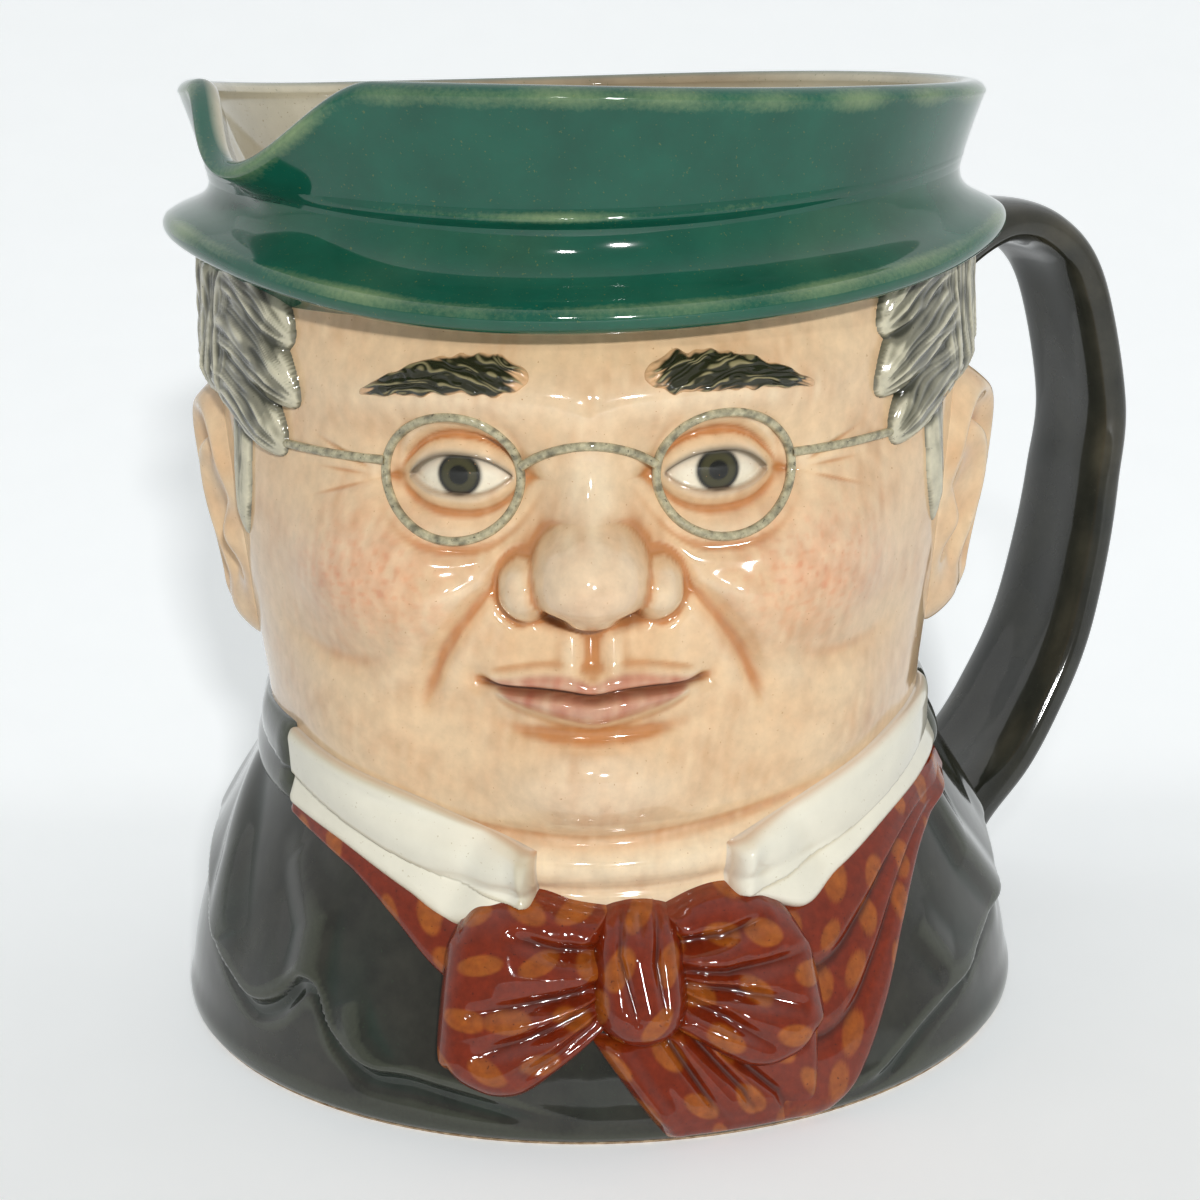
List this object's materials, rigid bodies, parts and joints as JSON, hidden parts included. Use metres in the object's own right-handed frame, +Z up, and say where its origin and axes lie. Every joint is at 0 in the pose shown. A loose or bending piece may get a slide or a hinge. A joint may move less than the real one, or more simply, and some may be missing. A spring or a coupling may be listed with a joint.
{
  "type": "character jug",
  "caption": "Glazed earthenware character jug: a gentleman's head and shoulders with a hat rim that pours, a strap handle, stand collar and bow tie.",
  "frame": {"origin": "centre of the foot ring, on the table", "axes": "+Z up along the vessel's axis, the face looks along -Y, the handle is on the +X side"},
  "size_m": [0.1562, 0.1342, 0.1416],
  "materials": {
    "bare_clay": "unglazed earthenware foot",
    "coat_glaze": "very dark green, glossy",
    "skin_glaze": "flesh underglaze with brown wash, glossy",
    "hat_glaze": "deep green, glossy, thin at the edges",
    "handle_glaze": "olive black, glossy",
    "hair_glaze": "olive grey brushed over cream, glossy",
    "wire_glaze": "grey olive line, glossy",
    "collar_glaze": "cream white, glossy",
    "cloth_glaze": "red brown with tan dabs, glossy"
  },
  "bodies": {
    "root": {"base_slab": "bare_clay", "bust_shell": "coat_glaze", "head_shell": "skin_glaze", "hat_crown": "hat_glaze", "hat_brim": "hat_glaze", "hat_band": "hat_glaze", "handle": "handle_glaze", "left_ear": "skin_glaze", "right_ear": "skin_glaze", "left_side_hair": "hair_glaze", "right_side_hair": "hair_glaze", "back_hair": "hair_glaze", "left_eyebrow": "hair_glaze", "right_eyebrow": "hair_glaze", "spectacles": "wire_glaze", "left_collar_wing": "collar_glaze", "right_collar_wing": "collar_glaze", "coat_collar": "coat_glaze", "left_neckcloth": "cloth_glaze", "right_neckcloth": "cloth_glaze", "bow_left_loop": "cloth_glaze", "bow_right_loop": "cloth_glaze", "bow_knot": "cloth_glaze", "bow_tail": "cloth_glaze"}
  },
  "joints": []
}
